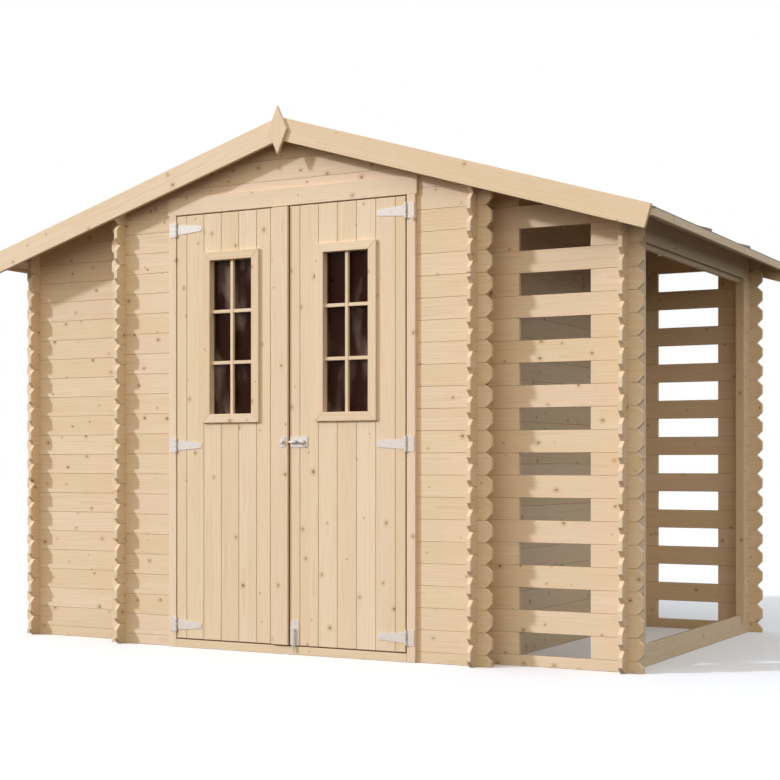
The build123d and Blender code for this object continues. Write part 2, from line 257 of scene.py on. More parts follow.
def rod(start: Point, end: Point, radius: float, arris: float = RIM_ARRIS) -> Object:
    """Turns a round rod with broken rims.

    Args:
        start: middle of one end.
        end: middle of the other.
        radius: of the rod.
        arris: broken off the rims.

    Returns:
        The rod.
    """
    run = Vector(end) - Vector(start)
    clear_selection()
    bpy.ops.mesh.primitive_cylinder_add(vertices=ROD_SIDES, radius=radius, depth=run.length)
    made = bpy.context.object
    made.rotation_mode = "QUATERNION"
    made.rotation_quaternion = run.to_track_quat("Z", "Y")
    made.location = (Vector(start) + Vector(end)) / 2
    bpy.ops.object.transform_apply(location=True, rotation=True, scale=True)
    break_edges(made, arris, segments=2, angle=RIM_BEND)
    make_active(made)
    bpy.ops.object.shade_smooth_by_angle(angle=math.radians(SMOOTH_BEND))
    return made


def copy_at(obj: Object, shift: Point) -> Object:
    """Copies a piece to another place, with its own mesh.

    Args:
        obj: piece to copy.
        shift: way from it to the copy.

    Returns:
        The copy.
    """
    made = bpy.data.objects.new(obj.name, obj.data.copy())
    made.data.transform(Matrix.Translation(shift))
    bpy.context.collection.objects.link(made)
    return made


def join(parts: Sequence[Object], name: str) -> Object:
    """Joins objects to one.

    Args:
        parts: objects to join.
        name: what the whole is called.

    Returns:
        The whole.
    """
    make_active(parts[0])
    for part in parts[1:]:
        part.select_set(True)
    if len(parts) > 1:
        bpy.ops.object.join()
    parts[0].name = parts[0].data.name = name
    return parts[0]


def hand_over(
    parts: Sequence[Object], name: str, material: Material, body: Body, slot: Slot, *nodes: str
) -> None:
    """Joins parts to a piece, dresses it and says what it rides on and stands for.

    Args:
        parts: finished meshes.
        name: what the piece is called.
        material: its finish.
        body: what it moves with.
        slot: the record's name of its finish; not used.
        nodes: the solids that it stands for.
    """
    piece = join(parts, name)
    piece.data.materials.clear()
    piece.data.materials.append(material)
    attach(piece, body.value)
    if nodes:
        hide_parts(*nodes)
    log.info("%s: %d faces on %s", piece.name, len(piece.data.polygons), body.value)


@dataclass
class Board:
    """A planed board with its grain.

    It lies square to the building until it is turned, then it is sawn, and its edges are broken last.
    Boards of one shape are copies of the first.
    """

    low: Point
    high: Point
    run: Axis
    face: Axis
    cut_ends: tuple[bool, bool] = (False, False)
    arris: float = 0.0016
    jointed: bool = True
    turn: Matrix = field(default_factory=lambda: Matrix.Identity(4))
    holes: Sequence[tuple[Point, Point]] = ()
    cuts: Sequence[Plane] = ()

    stock: ClassVar[dict[tuple, bpy.types.Mesh]] = {}
    lot: ClassVar[random.Random] = random.Random(46)
    tree_long: ClassVar[float] = 60.0
    pith_side: ClassVar[float] = 0.06
    pith_deep: ClassVar[tuple[float, float]] = (0.015, 0.07)
    seam_least: ClassVar[float] = 0.55

    @property
    def side(self) -> int:
        """Axis across the board's width."""
        return 3 - self.run.value - self.face.value

    @property
    def centre(self) -> Vector:
        """Middle of the board before it is turned."""
        return (Vector(self.low) + Vector(self.high)) / 2

    def make(self) -> Object:
        """Builds the board, as a copy where a like one is in stock.

        Returns:
            The board's own object, marked with its grain.
        """
        middle = self.turn @ self.centre
        key = self._likeness(middle)
        if key not in self.stock:
            first = self._shape()
            first.data.transform(Matrix.Translation(-middle))
            self.stock[key] = first.data
            bpy.data.objects.remove(first)
        mesh = self.stock[key].copy()
        mesh.transform(Matrix.Translation(middle))
        obj = bpy.data.objects.new("board", mesh)
        bpy.context.collection.objects.link(obj)
        self._mark(obj)
        return obj

    def _likeness(self, middle: Vector) -> tuple:
        """What boards of one shape have in common.

        Args:
            middle: middle of the turned board.

        Returns:
            Its sizes, and its holes and cuts as they lie from its middle.
        """
        marks = [*(Vector(self.high) - Vector(self.low)), *self.cut_ends, self.arris]
        marks += [n for row in self.turn.to_3x3() for n in row]
        marks += [n for hole in self.holes for corner in hole for n in Vector(corner) - self.centre]
        for point, normal in self.cuts:
            marks += [*normal, Vector(normal).dot(Vector(point) - middle)]
        return (self.run, self.face, len(self.holes), *(round(n, 5) for n in marks))

    def _shape(self) -> Object:
        """Shapes the ends, cuts the holes, turns, saws and breaks the edges.

        Returns:
            The board at its place.
        """
        obj = block(self.low, self.high, "board")
        ends = [corner[self.run.value] for corner, cut in zip((self.low, self.high), self.cut_ends) if cut]
        half = self.high[self.side] - self.low[self.side] < HALF_SHARE * BOARD_HIGH

        def shaped(a: Vector, b: Vector) -> bool:
            """Tells an edge across a shaped end, on a half board the upper one alone.

            Args:
                a: one end of the edge.
                b: its other end.

            Returns:
                Whether the edge is cut off.
            """
            at_end = any(abs(a[self.run.value] - end) < NEAR for end in ends)
            deep = abs(a[self.face.value] - b[self.face.value]) > NEAR
            return at_end and deep and (not half or a[self.side] > self.centre[self.side])

        if ends:
            round_edges(obj, shaped, END_CHAMFER, segments=1)
        for low, high in self.holes:
            hollow(obj, low, high)
        obj.data.transform(self.turn)
        for cut in self.cuts:
            saw(obj, cut)
        if obj.data.vertices:
            break_edges(obj, self.arris)
        return obj

    def _mark(self, obj: Object) -> None:
        """Writes where each point lies in the tree, and the board's shade and joint lines.

        Args:
            obj: the board's object.
        """
        shift = self.lot.uniform(0.0, self.tree_long)
        across = self.lot.uniform(-self.pith_side, self.pith_side)
        deep = self.lot.choice((-1, 1)) * self.lot.uniform(*self.pith_deep)
        tone = self.lot.random()
        warmth = self.lot.random()
        seam = self.lot.uniform(self.seam_least, 1.0) if self.jointed else 0.0
        back = self.turn.inverted()
        grain: list[float] = []
        shade: list[float] = []
        for vertex in obj.data.vertices:
            place = back @ vertex.co
            off = place - self.centre
            grain += [place[self.run.value] + shift, off[self.side] + across, off[self.face.value] + deep]
            rim = (self.high[self.side] - self.low[self.side]) / 2 - abs(off[self.side])
            shade += [tone, seam if rim < NEAR else 0.0, warmth]
        for name, values in (("grain", grain), ("shade", shade)):
            obj.data.attributes.new(name, "FLOAT_VECTOR", "POINT").data.foreach_set("vector", values)


def roof_cuts(low: float, high: float, top: float) -> list[Plane]:
    """Planes of the roof's underside that a board reaches.

    Args:
        low: the board's left end.
        high: its right end.
        top: its upper edge.

    Returns:
        The planes to saw by.
    """
    ridge = (0, 0, RIDGE)
    cuts: list[Plane] = []
    if low < 0 and top > under(low):
        cuts.append((ridge, (-RISE_SHARE, 0, 1)))
    if high > 0 and top > under(high):
        cuts.append((ridge, (RISE_SHARE, 0, 1)))
    return cuts


def feed(tree: Tree, node: Node, feeds: Feeds) -> None:
    """Gives each input named a value or a link.

    Args:
        tree: the node's tree.
        node: node to feed.
        feeds: for each input, a socket to link or a value to set.
    """
    for key, given in feeds.items():
        if isinstance(given, Socket):
            tree.links.new(given, node.inputs[key])
        else:
            node.inputs[key].default_value = given


def add_node(tree: Tree, kind: str, feeds: Feeds | None = None, **settings: object) -> Node:
    """Adds a shader node with its settings, and a value or a link for each input named.

    Args:
        tree: tree that takes it.
        kind: type of node, without its prefix.
        feeds: for each input, a socket to link or a value to set.
        settings: the node's own properties.

    Returns:
        The node.
    """
    made = tree.nodes.new("ShaderNode" + kind)
    for key, value in settings.items():
        setattr(made, key, value)
    feed(tree, made, feeds or {})
    return made


def new_material(name: str) -> tuple[Material, Tree, Node]:
    """Makes a material.

    Args:
        name: what it is called.

    Returns:
        The material, its tree and its main shader.
    """
    made = bpy.data.materials.new(name)
    made.use_nodes = True
    return made, made.node_tree, made.node_tree.nodes["Principled BSDF"]


@dataclass(frozen=True)
class PlanedSpruce:
    """Machine-planed spruce, unfinished: pale and dull, with faint growth rings, fine fibres and small knots.

    Rings and fibres are drawn about twice as coarse as they grow, so that they show in the picture.
    """

    name: str
    pale: str = "#E9D2AF"
    deep: str = "#DFC59C"
    rosy: str = "#E9CFB1"
    late_wood: str = "#CDA977"
    knot: str = "#6E4A2C"
    halo: str = "#B98F5E"
    joint: str = "#96734A"
    tone_share: float = 0.7
    joint_share: float = 0.8
    ring_mm: float = 7.0
    ring_share: float = 0.26
    ring_edge: float = 2.2
    ring_sink: float = 0.5
    fibre_mm: float = 6.0
    fibres_per_m: float = 9.0
    fibre_band: tuple[float, float] = (0.5, 0.8)
    fibre_share: float = 0.3
    cloud_mm: float = 90.0
    cloud_stretch: float = 8.0
    cloud_band: tuple[float, float] = (0.45, 0.75)
    cloud_share: float = 0.5
    halo_share: float = 0.4
    knot_mm: float = 7.0
    least_knot_share: float = 1 / 40
    knot_dark: tuple[float, float] = (0.3, 0.9)
    knot_stretch: float = 0.85
    core_radii: tuple[float, float] = (0.45, 1.1)
    halo_radii: tuple[float, float] = (0.9, 3.0)
    knot_gap_mm: float = 100.0
    knot_share: float = 0.62
    sway_mm: float = 22.0
    sways_per_m: Point = (1.6, 7.0, 7.0)
    knot_bend_mm: float = 6.0
    relief_mm: float = 0.6
    relief_share: float = 0.18
    rough: tuple[float, float] = (0.55, 0.72)
    gloss: float = 0.25

    def material(self) -> Material:
        """Builds the finish on the boards' own grain.

        Returns:
            The material.
        """
        made, tree, shader = new_material(self.name)
        grain = add_node(tree, "Attribute", attribute_name="grain").outputs["Vector"]
        marks = add_node(tree, "Attribute", attribute_name="shade").outputs["Vector"]
        tone, seam, warmth = add_node(tree, "SeparateXYZ", {0: marks}).outputs
        ratio, dark = self._knots(tree, grain)
        near, far = self.core_radii
        core = add_node(tree, "MapRange", {0: ratio, 1: near, 2: far, 3: dark, 4: 0.0}).outputs[0]
        near, far = self.halo_radii
        around = add_node(tree, "MapRange", {0: ratio, 1: near, 2: far, 3: 1.0, 4: 0.0}).outputs[0]
        ring = self._rings(tree, grain, around)
        per_fibre = 1000 / self.fibre_mm
        long_fibre = (self.fibres_per_m, per_fibre, per_fibre)
        stretched = add_node(tree, "Mapping", {0: grain, "Scale": long_fibre}).outputs[0]
        fibre = add_node(tree, "TexNoise", {"Vector": stretched, "Scale": 1.0, "Detail": 3.0}).outputs[0]
        per_cloud = 1000 / self.cloud_mm
        long_cloud = (per_cloud / self.cloud_stretch, per_cloud, per_cloud)
        drawn = add_node(tree, "Mapping", {0: grain, "Scale": long_cloud}).outputs[0]
        cloud = add_node(tree, "TexNoise", {"Vector": drawn, "Scale": 1.0, "Detail": 2.0}).outputs[0]
        colour = add_node(
            tree, "Mix", {0: warmth, 6: linear(self.pale), 7: linear(self.rosy)}, data_type="RGBA"
        ).outputs[2]
        whole = (0.0, 1.0)
        # each mask, the band that it is drawn from, the most that it covers, and its colour
        for mask, band, most, tint in (
            (tone, whole, self.tone_share, self.deep),
            (cloud, self.cloud_band, self.cloud_share, self.deep),
            (ring, whole, self.ring_share, self.late_wood),
            (fibre, self.fibre_band, self.fibre_share, self.late_wood),
            (around, whole, self.halo_share, self.halo),
            (core, whole, 1.0, self.knot),
            (seam, whole, self.joint_share, self.joint),
        ):
            feeds = {0: mask, 1: band[0], 2: band[1], 3: 0.0, 4: most}
            share = add_node(tree, "MapRange", feeds).outputs[0]
            mixed = {0: share, 6: colour, 7: linear(tint)}
            colour = add_node(tree, "Mix", mixed, data_type="RGBA").outputs[2]
        feeds = {0: fibre, 1: NOISE_LOW, 2: NOISE_HIGH, 3: self.rough[0], 4: self.rough[1]}
        rough = add_node(tree, "MapRange", feeds).outputs[0]
        feeds = {0: ring, 1: -self.ring_sink, 2: fibre}
        lift = add_node(tree, "Math", feeds, operation="MULTIPLY_ADD").outputs[0]
        relief = {"Height": lift, "Strength": self.relief_share, "Distance": self.relief_mm / 1000}
        bump = add_node(tree, "Bump", relief).outputs[0]
        surface = {"Base Color": colour, "Roughness": rough, "Normal": bump, "Specular IOR Level": self.gloss}
        feed(tree, shader, surface)
        return made

    def _knots(self, tree: Tree, grain: Socket) -> tuple[Socket, Socket]:
        """Distance from the nearest knot's middle in radii of that knot, and how dark that knot is.

        Args:
            tree: the finish's nodes.
            grain: place in the board.

        Returns:
            The sockets of both.
        """
        gap = self.knot_gap_mm / 1000
        per_cell = (self.knot_stretch / gap, 1 / gap, 0)
        cells = add_node(tree, "Mapping", {0: grain, "Scale": per_cell}).outputs[0]
        feeds = {"Vector": cells, "Scale": 1.0}
        knots = add_node(tree, "TexVoronoi", feeds, voronoi_dimensions="2D").outputs
        chance, faint, _ = add_node(tree, "SeparateXYZ", {0: knots["Color"]}).outputs
        most = self.knot_mm / self.knot_gap_mm
        least = 1 - self.knot_share
        sizes = {1: least, 2: 1.0, 3: most * self.least_knot_share, 4: most}
        radius = add_node(tree, "MapRange", {0: chance, **sizes}).outputs[0]
        ratio = add_node(tree, "Math", {0: knots["Distance"], 1: radius}, operation="DIVIDE").outputs[0]
        pale, dark = self.knot_dark
        return ratio, add_node(tree, "MapRange", {0: faint, 3: pale, 4: dark}).outputs[0]

    def _rings(self, tree: Tree, grain: Socket, around: Socket) -> Socket:
        """Late wood of the growth rings, which sway along the tree and bend round knots.

        Args:
            tree: the finish's nodes.
            grain: place in the board.
            around: nearness of a knot.

        Returns:
            The rings' socket, one at the dark line.
        """
        slow = add_node(tree, "Mapping", {0: grain, "Scale": self.sways_per_m}).outputs[0]
        sway = add_node(tree, "TexNoise", {"Vector": slow, "Scale": 1.0, "Detail": 2.0}).outputs["Color"]
        most = (0, self.sway_mm / 1000, self.sway_mm / 1000)
        feeds = {0: sway, 1: most, 2: grain}
        swayed = add_node(tree, "VectorMath", feeds, operation="MULTIPLY_ADD").outputs[0]
        flat = add_node(tree, "VectorMath", {0: swayed, 1: (0, 1, 1)}, operation="MULTIPLY").outputs[0]
        reach = add_node(tree, "VectorMath", {0: flat}, operation="LENGTH").outputs["Value"]
        feeds = {0: around, 1: self.knot_bend_mm / 1000, 2: reach}
        bent = add_node(tree, "Math", feeds, operation="MULTIPLY_ADD").outputs[0]
        count = add_node(tree, "Math", {0: bent, 1: self.ring_mm / 1000}, operation="DIVIDE").outputs[0]
        share = add_node(tree, "Math", {0: count}, operation="FRACT").outputs[0]
        return add_node(tree, "Math", {0: share, 1: self.ring_edge}, operation="POWER").outputs[0]


@dataclass(frozen=True)
class ZincPlate:
    """Zinc-plated pressed steel: pale warm grey, half glossy, faintly cloudy."""

    name: str = "zinc_plated_steel"
    bright: str = "#DED3C5"
    dull: str = "#CBC2B6"
    cloud_mm: float = 14.0
    polish_mm: float = 1.2
    relief_mm: float = 0.2
    relief_share: float = 0.05
    rough: tuple[float, float] = (0.36, 0.5)
    metallic: float = 0.25

    def material(self) -> Material:
        """Builds the finish on object coordinates.

        Returns:
            The material.
        """
        made, tree, shader = new_material(self.name)
        place = add_node(tree, "TexCoord").outputs["Object"]
        cloud = add_node(tree, "TexNoise", {"Vector": place, "Scale": 1000 / self.cloud_mm}).outputs[0]
        fine = add_node(tree, "TexNoise", {"Vector": place, "Scale": 1000 / self.polish_mm}).outputs[0]
        colour = add_node(
            tree, "Mix", {0: cloud, 6: linear(self.bright), 7: linear(self.dull)}, data_type="RGBA"
        ).outputs[2]
        feeds = {0: cloud, 1: NOISE_LOW, 2: NOISE_HIGH, 3: self.rough[0], 4: self.rough[1]}
        rough = add_node(tree, "MapRange", feeds).outputs[0]
        relief = {"Height": fine, "Strength": self.relief_share, "Distance": self.relief_mm / 1000}
        bump = add_node(tree, "Bump", relief).outputs[0]
        surface = {"Base Color": colour, "Roughness": rough, "Normal": bump, "Metallic": self.metallic}
        feed(tree, shader, surface)
        return made


@dataclass(frozen=True)
class WindowPane:
    """Clear float glass, glossy, its colour the painted shade of the unlit room behind it: dark brown, with
    faint upright lighter patches that are partly smears and partly painted reflection.
    """

    name: str = "clear_float_glass"
    # painted shade: the dark brown stands for the unlit room seen through the pane, painted into the pane's
    # own colour
    dark: str = "#3A180D"
    # lighter patches on the pane, partly smears on the glass and partly painted reflection
    smear_and_reflection: str = "#8A7666"
    smear_and_reflection_mm: float = 80.0
    smear_and_reflection_stretch: float = 3.0
    smear_and_reflection_band: tuple[float, float] = (0.5, 0.72)
    rough: tuple[float, float] = (0.03, 0.16)
    veil: tuple[float, float] = (0.4, 0.65)
    gloss: float = 0.12

    def material(self) -> Material:
        """Builds the finish on object coordinates.

        Returns:
            The material.
        """
        made, tree, shader = new_material(self.name)
        place = add_node(tree, "TexCoord").outputs["Object"]
        per_smear_and_reflection = 1000 / self.smear_and_reflection_mm
        upright = (per_smear_and_reflection, per_smear_and_reflection, per_smear_and_reflection / self.smear_and_reflection_stretch)
        drift = add_node(tree, "Mapping", {0: place, "Scale": upright}).outputs[0]
        cloud = add_node(tree, "TexNoise", {"Vector": drift, "Scale": 1.0, "Detail": 4.0}).outputs[0]
        start, full = self.smear_and_reflection_band
        share = add_node(tree, "MapRange", {0: cloud, 1: start, 2: full}).outputs[0]
        # the pane's colour: painted shade of the room behind, with lighter patches that are partly smears and
        # partly painted reflection
        colour = add_node(
            tree, "Mix", {0: share, 6: linear(self.dark), 7: linear(self.smear_and_reflection)}, data_type="RGBA"
        ).outputs[2]
        rough = add_node(tree, "MapRange", {0: cloud, 3: self.rough[0], 4: self.rough[1]}).outputs[0]
        veil = add_node(tree, "MapRange", {0: share, 3: self.veil[0], 4: self.veil[1]}).outputs[0]
        surface = {"Base Color": colour, "Roughness": rough, "Alpha": veil, "Specular IOR Level": self.gloss}
        feed(tree, shader, surface)
        return made


@dataclass(frozen=True)
class MineralFelt:
    """Bitumen roofing felt with slate grit: mid grey, matt and grainy.

    The grit is drawn coarse enough to show in the picture.
    """

    name: str = "mineral_felt"
    grit: str = "#BAB7B0"
    dark: str = "#8F8C86"
    grit_mm: float = 4.0
    grit_band: tuple[float, float] = (0.5, 1.0)
    cloud_mm: float = 260.0
    cloud_share: float = 0.5
    relief_mm: float = 1.0
    relief_share: float = 0.5
    rough: float = 0.92

    def material(self) -> Material:
        """Builds the finish on object coordinates.

        Returns:
            The material.
        """
        made, tree, shader = new_material(self.name)
        place = add_node(tree, "TexCoord").outputs["Object"]
        grain = add_node(tree, "TexNoise", {"Vector": place, "Scale": 1000 / self.grit_mm}).outputs[0]
        cloud = add_node(tree, "TexNoise", {"Vector": place, "Scale": 1000 / self.cloud_mm}).outputs[0]
        feeds = {0: cloud, 1: self.cloud_share, 2: grain}
        both = add_node(tree, "Math", feeds, operation="MULTIPLY_ADD").outputs[0]
        start, full = self.grit_band
        share = add_node(tree, "MapRange", {0: both, 1: start, 2: full}).outputs[0]
        colour = add_node(
            tree, "Mix", {0: share, 6: linear(self.dark), 7: linear(self.grit)}, data_type="RGBA"
        ).outputs[2]
        relief = {"Height": grain, "Strength": self.relief_share, "Distance": self.relief_mm / 1000}
        bump = add_node(tree, "Bump", relief).outputs[0]
        feed(tree, shader, {"Base Color": colour, "Normal": bump, "Roughness": self.rough})
        return made


@dataclass
class BoardWall:
    """A wall of stacked boards that stands for one solid.

    Walls across the building start with a half board, walls along it with a whole one.
    """

    node: str
    run: Axis
    cut_ends: tuple[bool, bool]
    slot_span: tuple[float, float] | None = None
    sliver: float = 0.014
    least: float = 0.002
    run_on: float = 0.001
    most_courses: int = 40

    def courses(self, low: float, high: float) -> list[tuple[float, float]]:
        """Heights of the boards between two heights, the last one up to the roof.

        Args:
            low: foot of the lowest board.
            high: where the wall ends.

        Returns:
            Lower and upper edge of each board.
        """
        start = [] if self.run is Axis.ALONG else [0.0]
        first = 0.0 if self.run is Axis.ALONG else BOARD_HIGH / 2
        joints = start + [first + k * BOARD_HIGH for k in range(self.most_courses)]
        rows = [(a, b) for a, b in zip(joints, joints[1:]) if low - NEAR < a < high - self.sliver]
        if NEAR < high - rows[-1][1] < self.sliver:
            rows[-1] = (rows[-1][0], high + self.run_on)
        return rows

    def spans(self, row: int, low: float, high: float) -> list[tuple[float, float, tuple[bool, bool]]]:
        """Pieces of one course.

        Args:
            row: number of the course.
            low: where the course starts.
            high: where it ends.

        Returns:
            Start and end of each piece, and which of its ends are shaped.
        """
        if self.slot_span is None or row % 2 == 0:
            return [(low, high, self.cut_ends)]
        return [
            (low, self.slot_span[0], (self.cut_ends[0], False)),
            (self.slot_span[1], high, (False, self.cut_ends[1])),
        ]

    def build(self, finish: Material) -> None:
        """Builds the wall's boards and dresses them.

        Args:
            finish: of the boards.
        """
        low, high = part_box(self.node)
        axis = self.run.value
        face = Axis.ALONG if self.run is Axis.ACROSS else Axis.ACROSS
        boards = []
        for bottom, top in self.courses(low.z, high.z):
            row = round(bottom / BOARD_HIGH + 0.5)
            for start, end, ends in self.spans(row, low[axis], high[axis]):
                a, b = list(low), list(high)
                a[axis], b[axis], a[2], b[2] = start, end, bottom, top
                near = 0.0 if a[0] < 0 < b[0] else min(abs(a[0]), abs(b[0]))
                if under(near) - bottom < self.least:
                    continue
                made = Board(a, b, self.run, face, ends, cuts=roof_cuts(a[0], b[0], top)).make()
                if made.data.vertices:
                    boards.append(made)
        hand_over(boards, self.node + "_boards", finish, Body.SHED, Slot.WALL, self.node)


@dataclass
class Walls:
    """All the walls but the log store's open side."""

    finish: Material
    slot_span: tuple[float, float] = (1.024, 1.330)

    def build(self) -> None:
        """Builds and dresses each wall."""
        across, along = Axis.ACROSS, Axis.ALONG
        for wall in (
            BoardWall("front_wall_left", across, (True, False)),
            BoardWall("front_wall_right", across, (False, True)),
            BoardWall("front_gable", across, (True, True)),
            BoardWall("rear_wall", across, (True, True), self.slot_span),
            BoardWall("bay_front", across, (True, False)),
            BoardWall("log_store_front", across, (False, True), self.slot_span),
            BoardWall("room_side_left", along, (True, True)),
            BoardWall("room_side_right", along, (True, True)),
            BoardWall("bay_side", along, (True, True)),
        ):
            wall.build(self.finish)


@dataclass
class OpenSide:
    """The log store's open side: bottom board, corner stubs, head board, posts and head batten."""

    boards: Material
    trim: Material
    notch_long: float = 0.050
    head_lower: float = 0.013
    batten_drop: float = 0.019
    batten_high: float = 0.038
    batten_back: float = 0.002

    def build(self) -> None:
        """Builds and dresses the three groups."""
        low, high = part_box("log_store_side")
        head_low, head_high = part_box("log_store_head")
        post_low, post_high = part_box("log_store_frame")
        seat, top = BOARD_HIGH / 2, BOARD_HIGH + PAST
        notches = ((post_low.y, head_low.y), (head_high.y - self.notch_long, post_high.y))
        holes = [((low.x - PAST, a, seat), (high.x + PAST, b, top)) for a, b in notches]
        way = (Axis.ALONG, Axis.ACROSS)
        stubs = [Board(low, (high.x, high.y, BOARD_HIGH), *way, (True, True), holes=holes).make()]
        for a, b in BoardWall("log_store_side", Axis.ALONG, (True, True)).courses(BOARD_HIGH, high.z):
            cuts = roof_cuts(low.x, high.x, b)
            corners = ((low.y, post_low.y, (True, False)), (post_high.y, high.y, (False, True)))
            for start, end, ends in corners:
                stubs.append(Board((low.x, start, a), (high.x, end, b), *way, ends, cuts=cuts).make())
        hand_over(stubs, "log_store_side_boards", self.boards, Body.SHED, Slot.WALL, "log_store_side")
        head_low.z -= self.head_lower
        cuts = roof_cuts(head_low.x, head_high.x, head_high.z)
        head = Board(head_low, head_high, *way, cuts=cuts).make()
        hand_over([head], "log_store_head_board", self.boards, Body.SHED, Slot.WALL, "log_store_head")
        thick = head_low.y - post_low.y
        cuts = roof_cuts(post_low.x, post_high.x, post_high.z)
        posts = []
        for near in (post_low.y, head_high.y):
            a, b = (post_low.x, near, post_low.z), (post_high.x, near + thick, post_high.z)
            posts.append(Board(a, b, Axis.UP, Axis.ALONG, jointed=False, cuts=cuts).make())
        bottom = head_low.z - self.batten_drop
        a = (post_low.x + self.batten_back, head_low.y, bottom)
        b = (head_low.x, head_high.y, bottom + self.batten_high)
        posts.append(Board(a, b, *way, jointed=False).make())
        hand_over(posts, "log_store_posts", self.trim, Body.SHED, Slot.TRIM, "log_store_frame")


@dataclass
class Roof:
    """Roof boards from ridge to eave, eave strips, bargeboards, finials and the felt."""

    boards: Material
    trim: Material
    felt: Material
    cover: float = 0.0888
    thick: float = 0.019
    barge_wide: float = 0.095
    board_spare: float = 0.03
    barge_spare: float = 0.05
    strip_joints: tuple[float, ...] = (-0.201, 0.270, 0.702)
    laps: tuple[float, ...] = (-0.2295, 0.3535)
    lap_over: float = 0.060
    lap_lift: float = 0.010
    lap_run: float = 0.22
    felt_thick: float = 0.003
    flap: float = 0.012
    sheet_cells: tuple[int, int] = (8, 24)

    def build(self) -> None:
        """Builds and dresses every part of the roof."""
        for side, way in (("left", -1), ("right", 1)):
            self._slope(f"roof_{side}", way)
            self._eave_strip(f"eave_fascia_{side}", way)
            self._barge(f"front_barge_{side}", way)
            self._barge(f"rear_barge_{side}", way)
        for node in ("front_finial", "rear_finial"):
            self._finial(node)
        self._sheets()

    def _slope(self, node: str, way: int) -> None:
        """Lays one slope's boards side by side.

        Args:
            node: the solid that they stand for.
            way: side of the building, -1 or 1.
        """
        low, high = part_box(node)
        eave = max(abs(low.x), abs(high.x))
        start, end = sorted((-way * self.board_spare, way * (eave / math.cos(SLOPE) + self.board_spare)))
        count = round((high.y - low.y) / self.cover)
        wide = (high.y - low.y) / count
        turn = Matrix.Translation((0, 0, RIDGE)) @ Matrix.Rotation(way * SLOPE, 4, "Y")
        cuts = [((0, 0, 0), (-way, 0, 0)), ((way * eave, 0, 0), (way, 0, 0))]
        boards = []
        for k in range(count):
            a, b = (start, low.y + k * wide, 0.0), (end, low.y + (k + 1) * wide, self.thick)
            boards.append(Board(a, b, Axis.ACROSS, Axis.UP, turn=turn, cuts=cuts).make())
        hand_over(boards, node + "_boards", self.boards, Body.SHED, Slot.ROOF, node)

    def _eave_strip(self, node: str, way: int) -> None:
        """Strip on the eave ends of the roof boards, in butted lengths, its top planed to the slope.

        Args:
            node: the solid that it stands for.
            way: side of the building, -1 or 1.
        """
        low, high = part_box(node)
        cut = ((low.x if way > 0 else high.x, 0, high.z), (way * RISE_SHARE, 0, 1))
        joints = [low.y, *self.strip_joints, high.y]
        strips = []
        for start, end in zip(joints, joints[1:]):
            a, b = (low.x, start, low.z), (high.x, end, high.z)
            strip = Board(a, b, Axis.ALONG, Axis.ACROSS, arris=TRIM_ARRIS, jointed=False, cuts=[cut])
            strips.append(strip.make())
        hand_over(strips, node + "_strip", self.trim, Body.SHED, Slot.TRIM, node)

    def _barge(self, node: str, way: int) -> None:
        """Bargeboard, mitred at the ridge and square at the eave.

        Args:
            node: the solid that it stands for.
            way: side of the building, -1 or 1.
        """
        low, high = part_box(node)
        edge = max(abs(low.x), abs(high.x))
        start, end = sorted((-way * self.barge_spare, way * edge / math.cos(SLOPE)))
        turn = Matrix.Translation((0, 0, high.z)) @ Matrix.Rotation(way * SLOPE, 4, "Y")
        mitre = ((0, 0, 0), (-way, 0, 0))
        a, b = (start, low.y, -self.barge_wide), (end, high.y, 0.0)
        board = Board(a, b, Axis.ACROSS, Axis.ALONG, arris=TRIM_ARRIS, jointed=False, turn=turn, cuts=[mitre])
        hand_over([board.make()], node + "_board", self.trim, Body.SHED, Slot.TRIM, node)

    def _finial(self, node: str) -> None:
        """Upright rhombus over the joint of two bargeboards.

        Args:
            node: the solid that it stands for.
        """
        low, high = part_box(node)
        middle, half = (high + low) / 2, (high - low) / 2
        cuts = []
        for x, z in ((-1, -1), (-1, 1), (1, -1), (1, 1)):
            cuts.append(((middle.x + x * half.x, 0, middle.z), (x * half.z, 0, z * half.x)))
        board = Board(low, high, Axis.UP, Axis.ALONG, arris=TRIM_ARRIS, jointed=False, cuts=cuts)
        hand_over([board.make()], node + "_board", self.trim, Body.SHED, Slot.TRIM, node)

    def _sheets(self) -> None:
        """Felt laid over the ridge in sheets, each lapped over the next one behind."""
        low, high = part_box("roof_felt")
        top = RIDGE + self.thick / math.cos(SLOPE)
        starts = [low.y, *[lap - self.lap_over for lap in self.laps]]
        sheets = []
        for start, end in zip(starts, [*self.laps, high.y]):
            clear_selection()
            wide, long = self.sheet_cells
            bpy.ops.mesh.primitive_grid_add(x_subdivisions=wide, y_subdivisions=long, size=1.0)
            sheet = bpy.context.object
            for vertex in sheet.data.vertices:
                y = start + (vertex.co.y + 0.5) * (end - start)
                flap = self.flap if y < low.y + PAST and abs(vertex.co.x) > 0.5 - NEAR else 0.0
                x = vertex.co.x * (high.x - low.x + 2 * flap)
                vertex.co = (x, y, top - RISE_SHARE * abs(x))
            apply_modifier(sheet, "SOLIDIFY", thickness=self.felt_thick, offset=1.0)
            for vertex in sheet.data.vertices:
                upper = vertex.co.z - top + RISE_SHARE * abs(vertex.co.x) > self.felt_thick / 2
                if upper and end < high.y:
                    near = min(max((vertex.co.y - end + self.lap_run) / self.lap_run, 0.0), 1.0)
                    vertex.co.z += self.lap_lift * near * near * (3 - 2 * near)
            sheets.append(sheet)
        hand_over(sheets, "roof_felt_sheets", self.felt, Body.SHED, Slot.FELT, "roof_felt")


